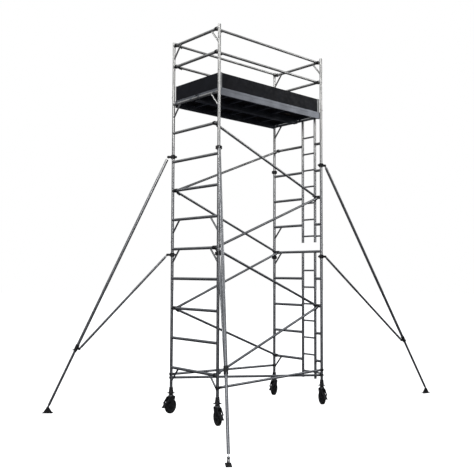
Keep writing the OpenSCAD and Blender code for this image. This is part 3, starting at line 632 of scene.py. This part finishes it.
PEDAL_ANGLE = math.radians(55)
PEDAL_T = 0.007
GRIP_RIBS = 5
GRIP_START = 0.022
GRIP_PITCH = 0.011
GRIP_HALF_W = 0.022
GRIP_R = 0.0018


def add_pedal_grip(corner):
    """Raised ribs across the brake pedal."""
    pivot, across = joint(f"{corner}_brake_press")
    ahead = across.cross(Z)
    along = ahead * math.cos(PEDAL_ANGLE) - Z * math.sin(PEDAL_ANGLE)
    out = ahead * math.sin(PEDAL_ANGLE) + Z * math.cos(PEDAL_ANGLE)
    grip = Piece()
    for rib in range(GRIP_RIBS):
        at = pivot + along * (GRIP_START + GRIP_PITCH * rib) + out * PEDAL_T
        grip.rod(at - across * GRIP_HALF_W, at + across * GRIP_HALF_W, GRIP_R, segments=10)
    grip.build(f"{corner}_pedal_grip", f"{corner}_brake_pedal", GRIP, "black_casting")


# ---------- threaded legs ----------

FLANGE_T = 0.02
FLANGE_CHAMFER = 0.001
PIN_BORE = 0.0105
PIN_BORE_DEPTH = 0.077
ROD_BORE = 0.014
THREAD_PITCH = 0.008
THREAD_ROOT = 0.0174
THREAD_CREST = 0.0188
THREAD_SUNK = 0.0006
THREAD_FOOT_HALF = 0.0026
THREAD_CREST_HALF = 0.0012
THREAD_START = 0.7
TURN_STEPS = 20


def add_leg(corner):
    """A round flange and a hollow rod with a rolled trapezoidal thread."""
    node = f"{corner}_leg"
    low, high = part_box(node)
    centre = Vector(((low.x + high.x) / 2, (low.y + high.y) / 2, 0))
    flange_r, c = (high.x - low.x) / 2, FLANGE_CHAMFER
    flange_top, rod_top, bore_top = low.z + FLANGE_T, high.z, low.z + PIN_BORE_DEPTH
    leg = Piece()
    leg.lathe(centre, Z, (
        (low.z, PIN_BORE), (low.z, flange_r - c), (low.z + c, flange_r),
        (flange_top - c, flange_r), (flange_top, flange_r - c), (flange_top, PIN_BORE)))
    leg.lathe(centre, Z, (
        (flange_top, PIN_BORE), (flange_top, THREAD_ROOT), (rod_top, THREAD_ROOT),
        (rod_top, ROD_BORE), (bore_top, ROD_BORE), (bore_top, PIN_BORE)), segments=32)
    foot_r = THREAD_ROOT - THREAD_SUNK
    thread = ((foot_r, -THREAD_FOOT_HALF), (THREAD_CREST, -THREAD_CREST_HALF),
              (THREAD_CREST, THREAD_CREST_HALF), (foot_r, THREAD_FOOT_HALF))
    turns = (rod_top - flange_top - 2 * THREAD_PITCH) / THREAD_PITCH
    rows = []
    for k in range(int(turns * TURN_STEPS)):
        angle = TAU * k / TURN_STEPS
        out = X * math.cos(angle) + Y * math.sin(angle)
        z = flange_top + THREAD_PITCH * (THREAD_START + k / TURN_STEPS)
        rows.append([centre + out * r + Z * (z + dz) for r, dz in thread])
    leg.grid(rows)
    leg.build(f"{corner}_threaded_leg", node, FINISH["zinc_steel"], "zinc_steel", replaces=(node,))


# ---------- platform details ----------

TOE_T = 0.02
TOE_CHAMFER = 0.0025
TOE_GAP = 0.0002


def add_toe_boards():
    """Four bevelled boards, the long ones held between the end ones."""
    low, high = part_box("toe_boards")
    height, middle_z = high.z - low.z, (high.z + low.z) / 2
    boards = Piece()
    for y in (low.y + TOE_T / 2, high.y - TOE_T / 2):
        boards.slab(Vector(((low.x + high.x) / 2, y, middle_z)), (X, Y, Z),
                    (high.x - low.x - 2 * TOE_T - 2 * TOE_GAP, TOE_T, height), TOE_CHAMFER)
    for x in (low.x + TOE_T / 2, high.x - TOE_T / 2):
        boards.slab(Vector((x, (low.y + high.y) / 2, middle_z)), (X, Y, Z),
                    (TOE_T, high.y - low.y, height), TOE_CHAMFER)
    boards.build("bevelled_toe_boards", "tower", FINISH["toe_board_plywood"], "toe_board_plywood",
                 replaces=("toe_boards",))


DOME_SUNK = 0.0005
# A domed head's outline: (share of its height, share of its radius)
DOME = ((0, 1), (0.45, 0.93), (0.8, 0.66), (1, 0.25))


def dome(piece, at, out, radius, height):
    """A rivet or screw head, sunk a little into the face that it sits on."""
    piece.lathe(at - out * DOME_SUNK, out, [(height * a, radius * r) for a, r in DOME],
                segments=16, closed=False)


RIVET_R, RIVET_H = 0.006, 0.003
RIVET_COUNT = 9
RIVET_ROWS = (0.022, 0.048)
RIVET_STAGGER = 0.04
SCREW_R, SCREW_H = 0.0055, 0.0012
SCREW_COUNT = 8
SCREW_INSET = (0.03, 0.056)
DECK_BOARD_L = 2.374


def add_platform_fixings():
    """Rivet heads along the side beams and screw heads in the deck boards, none of them in the hatch."""
    rivets, screws = Piece(), Piece()
    hatch_low, hatch_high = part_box("hatch_door")
    for name, side in (("front", -1), ("rear", 1)):
        low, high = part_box(f"{name}_platform_frame")
        face = low.y if side < 0 else high.y
        for k in range(RIVET_COUNT):
            x = low.x + (high.x - low.x) * (k + 0.5) / RIVET_COUNT
            dome(rivets, Vector((x, face, low.z + RIVET_ROWS[0])), Y * side, RIVET_R, RIVET_H)
            if k % 2 == 0:
                upper = Vector((x + RIVET_STAGGER, face, low.z + RIVET_ROWS[1]))
                dome(rivets, upper, Y * side, RIVET_R, RIVET_H)
        first_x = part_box(f"{name}_deck_board")[0].x + SCREW_INSET[0]
        for k in range(SCREW_COUNT):
            x = first_x + (DECK_BOARD_L - 2 * SCREW_INSET[0]) * k / (SCREW_COUNT - 1)
            if name == "front" and hatch_low.x < x < hatch_high.x:
                continue
            for y in (low.y + SCREW_INSET[1], high.y - SCREW_INSET[1]):
                dome(screws, Vector((x, y, DECK_Z)), Z, SCREW_R, SCREW_H)
    rivets.build("platform_rivets", "tower", FINISH["platform_aluminium"], "platform_aluminium")
    screws.build("deck_screws", "tower", FINISH["zinc_steel"], "zinc_steel")


# ---------- brace hooks and pins ----------

BRACES_PER_FACE = 4
HOOK_INSET = (0.062, 0.106)
GUARDRAIL_INSET = 0.07
# A tongue closes the hook's mouth; a lever with a trigger runs under its shank. Sizes are length, width
# and thickness, and places are (along the shank, under it)
TONGUE_SIZE, TONGUE_DROP, TONGUE_CHAMFER = (0.037, 0.03, 0.004), 0.0033, 0.001
LEVER_SIZE, LEVER_AT = (0.058, 0.016, 0.007), (0.083, 0.0265)
TRIGGER_SIZE, TRIGGER_AT = (0.014, 0.02, 0.009), (0.108, 0.031)
LEVER_CHAMFER = 0.0015
HOOK_RIVETS_AT = (0.07, 0.094)
HOOK_RIVET_R, HOOK_RIVET_HALF_L = 0.0042, 0.0245


def latch(latches, rivets, centre, shank):
    """The sprung latch of a hook that sits on a rung at centre, and the rivets it turns on."""
    bar, mouth = Y, -Z
    flat = (shank - mouth * shank.dot(mouth) - bar * shank.dot(bar)).normalized()
    latches.slab(centre + mouth * (RUNG_R + TONGUE_DROP), (flat, bar, mouth), TONGUE_SIZE, TONGUE_CHAMFER)
    down = (mouth - shank * mouth.dot(shank)).normalized()
    for (along, under), size in ((LEVER_AT, LEVER_SIZE), (TRIGGER_AT, TRIGGER_SIZE)):
        latches.slab(centre + shank * along + down * under, (shank, bar, down), size, LEVER_CHAMFER)
    for along in HOOK_RIVETS_AT:
        at = centre + shank * along
        rivets.rod(at - bar * HOOK_RIVET_HALF_L, at + bar * HOOK_RIVET_HALF_L, HOOK_RIVET_R, segments=12)


def hooked_spans():
    """Where each brace and long guardrail hooks on: its y, and its height at the left and right ends."""
    spans = []
    for i in range(BRACES_PER_FACE):
        # The zigzag turns on every second rung: even turns at the left in front, odd ones at the right
        even, odd = (i, i + 1) if i % 2 == 0 else (i + 1, i)
        even_z, odd_z = rung_z(LOWER_Z, 2 * even), rung_z(LOWER_Z, 2 * odd)
        y = HALF_W - HOOK_INSET[i % 2]
        spans += [(-y, even_z, odd_z), (y, odd_z, even_z)]
    for side in (-1, 1):
        for height in (MID_RAIL, TOP_RAIL):
            spans.append((side * (HALF_W - GUARDRAIL_INSET), GUARD_Z + height, GUARD_Z + height))
    return spans


def add_hook_latches():
    latches, rivets = Piece(), Piece()
    for y, left_z, right_z in hooked_spans():
        left, right = Vector((END_X["left"], y, left_z)), Vector((END_X["right"], y, right_z))
        way = (right - left).normalized()
        latch(latches, rivets, left, way)
        latch(latches, rivets, right, -way)
    latches.build("hook_latches", "tower", FINISH["black_casting"], "black_casting")
    rivets.build("hook_rivets", "tower", FINISH["zinc_steel"], "zinc_steel")


PIN_HEIGHT = 0.045
BAIL_R = 0.0335
BAIL_REACH = 0.004
BAIL_DROOP = 0.022
BAIL_WIRE_R = 0.0016
BAIL_STEPS = 24


def add_pin_bails():
    """A wire loop that swings round the post from one end of each snap pin to the other."""
    bails = Piece()
    for corner in CORNERS:
        outward = -Y if corner.startswith("front") else Y
        for base_z in (UPPER_Z, GUARD_Z):
            centre = POST_XY[corner] + Z * (base_z + PIN_HEIGHT)
            path = []
            for k in range(BAIL_STEPS + 1):
                angle = math.pi * k / BAIL_STEPS
                path.append(centre + X * BAIL_R * math.cos(angle)
                            + outward * (BAIL_R + BAIL_REACH) * math.sin(angle)
                            - Z * BAIL_DROOP * math.sin(angle))
            bails.sweep(path, BAIL_WIRE_R, sides=8)
    bails.build("snap_pin_bails", "tower", FINISH["zinc_steel"], "zinc_steel")


# ---------- stabiliser details ----------

SLIDER_R = 0.021
ARM_R = 0.025
SLIDER_HOLES = 5
FIRST_HOLE = 0.24
HOLE_PITCH = 0.12
RIM_SUNK = 0.0004
HOLE_RIM = ((0, 0.0045), (0, 0.0075), (0.0009, 0.0068), (0.0009, 0.005))
PIN_FROM_END = 0.035
# The spring pin's barrel and plunger: from and to, outside the main tube's face, and radius
PIN_BARREL = (-0.002, 0.016, 0.009)
PIN_PLUNGER = (0.014, 0.026, 0.0045)
RING_AT, RING_R, RING_WIRE_R = 0.036, 0.0125, 0.0014
RING_STEPS = 28


def add_stabiliser_details(corner):
    """A spring pin with a pull ring at the main tube's lower end, and the row of holes it locks into."""
    foot, across = joint(f"{corner}_foot_tilt")
    _, way = joint(f"{corner}_stabiliser_extend")
    out = across.cross(way).normalized()
    if out.z < 0:
        out = -out
    holes = Piece()
    for k in range(SLIDER_HOLES):
        at = foot - way * (FIRST_HOLE + HOLE_PITCH * k)
        for side in (-1, 1):
            face = at + across * side * (SLIDER_R - RIM_SUNK)
            holes.lathe(face, across * side, HOLE_RIM, segments=20)
    slider = f"{corner}_stabiliser_slider"
    holes.build(f"{corner}_slider_hole_rims", slider, FINISH["zinc_steel"], "zinc_steel")
    low_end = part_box(f"{corner}_stabiliser_arm")[0].z
    at = foot - way * ((low_end - foot.z) / abs(way.z) + PIN_FROM_END)
    pin = Piece()
    for (start, end, radius), segments in ((PIN_BARREL, 20), (PIN_PLUNGER, 14)):
        pin.rod(at + out * (ARM_R + start), at + out * (ARM_R + end), radius, segments=segments)
    centre = at + out * (ARM_R + RING_AT)
    turns = [TAU * k / RING_STEPS for k in range(RING_STEPS)]
    ring = [centre + (out * math.cos(angle) + way * math.sin(angle)) * RING_R for angle in turns]
    pin.sweep(ring, RING_WIRE_R, sides=8, closed=True)
    pin.build(f"{corner}_spring_pin", f"{corner}_stabiliser_arm", FINISH["zinc_steel"], "zinc_steel")


def add_details():
    for corner in CORNERS:
        add_wheel(corner)
        add_pedal_grip(corner)
        add_leg(corner)
        add_stabiliser_details(corner)
    add_toe_boards()
    add_platform_fixings()
    add_hook_latches()
    add_pin_bails()


# ---------- studio ----------

FLOOR_SIZE = 120.0
# The floor lies a hair under the tyres, so that no two faces share a plane
FLOOR_GAP = 0.0005
FLOOR_IN_REFLECTIONS = (0.05, 0.054, 0.064, 1.0)
# Strength of the sky by height above the horizon, as the tubes reflect it
SKY = ((0.0, 0.08), (0.2, 0.2), (0.45, 0.36), (1.0, 0.4))
SKY_TINT = (0.93, 0.96, 1.0)
SOFTBOX_DISTANCE = 19


def add_floor():
    """A pale floor: white to the eye, and dark in what the tubes reflect."""
    half = FLOOR_SIZE / 2
    corners = [(-half, -half, 0), (half, -half, 0), (half, half, 0), (-half, half, 0)]
    mesh = bpy.data.meshes.new("floor")
    mesh.from_pydata(corners, [], [(0, 1, 2, 3)])
    floor = bpy.data.objects.new("floor", mesh)
    floor.location.z = FLOOR_Z - FLOOR_GAP
    bpy.context.scene.collection.objects.link(floor)
    finish = Finish("pale_floor", specular=0.1)
    tone = finish.ramp(finish.noise(0.6, 3), (0.3, 0.9), (0.7, 0.93))
    seen = finish.node("ShaderNodeLightPath").outputs["Is Camera Ray"]
    finish.shader.inputs["Emission Color"].default_value = WHITE
    finish.feed(finish.shader.inputs["Emission Strength"], seen)
    mesh.materials.append(finish.surface(finish.blend(seen, FLOOR_IN_REFLECTIONS, tone), 0.9))


def add_world():
    """White to the eye. As a light it is dim at the horizon and brightest overhead, as SKY gives it."""
    world = bpy.data.worlds.new("studio")
    bpy.context.scene.world = world
    world.use_nodes = True
    tree = world.node_tree
    sky = tree.nodes["Background"]
    coordinates = tree.nodes.new("ShaderNodeTexCoord")
    parts = tree.nodes.new("ShaderNodeSeparateXYZ")
    tree.links.new(coordinates.outputs["Generated"], parts.inputs["Vector"])
    ramp = tree.nodes.new("ShaderNodeValToRGB")
    tree.links.new(parts.outputs["Z"], ramp.inputs["Fac"])
    while len(ramp.color_ramp.elements) < len(SKY):
        ramp.color_ramp.elements.new(0.5)
    for element, (height, strength) in zip(ramp.color_ramp.elements, SKY):
        element.position = height
        element.color = (*(strength * channel for channel in SKY_TINT), 1)
    tree.links.new(ramp.outputs["Color"], sky.inputs["Color"])
    white = tree.nodes.new("ShaderNodeBackground")
    white.inputs["Color"].default_value = WHITE
    rays = tree.nodes.new("ShaderNodeLightPath")
    pick = tree.nodes.new("ShaderNodeMixShader")
    tree.links.new(rays.outputs["Is Camera Ray"], pick.inputs["Fac"])
    tree.links.new(sky.outputs["Background"], pick.inputs[1])
    tree.links.new(white.outputs["Background"], pick.inputs[2])
    tree.links.new(pick.outputs["Shader"], tree.nodes["World Output"].inputs["Surface"])


def add_lamp(name, place, target, width, height, power):
    data = bpy.data.lights.new(name, "AREA")
    data.shape = "RECTANGLE"
    data.size = width
    data.size_y = height
    data.energy = power
    lamp = bpy.data.objects.new(name, data)
    bpy.context.scene.collection.objects.link(lamp)
    lamp.location = place
    lamp.rotation_euler = (Vector(target) - Vector(place)).to_track_quat("-Z", "Y").to_euler()


def add_lights():
    """A tall soft box behind the camera lights the posts' faces; two smaller ones edge the rest."""
    add_world()
    behind = Vector((-math.sin(HEADING), -math.cos(HEADING), 0)) * SOFTBOX_DISTANCE
    add_lamp("front_softbox", behind + Z * 8.5, (0, 0, 5.0), 8.0, 11.0, 900)
    add_lamp("left_softbox", (-9, 3, 11), (0, 0, 3.5), 3.0, 3.0, 160)
    add_lamp("right_softbox", (9, -7, 9), (0, 0, 3.0), 3.0, 3.0, 110)


bpy.context.scene.view_settings.view_transform = "Standard"
add_camera()
add_floor()
add_lights()
finish_cad_nodes()
add_welds()
add_details()
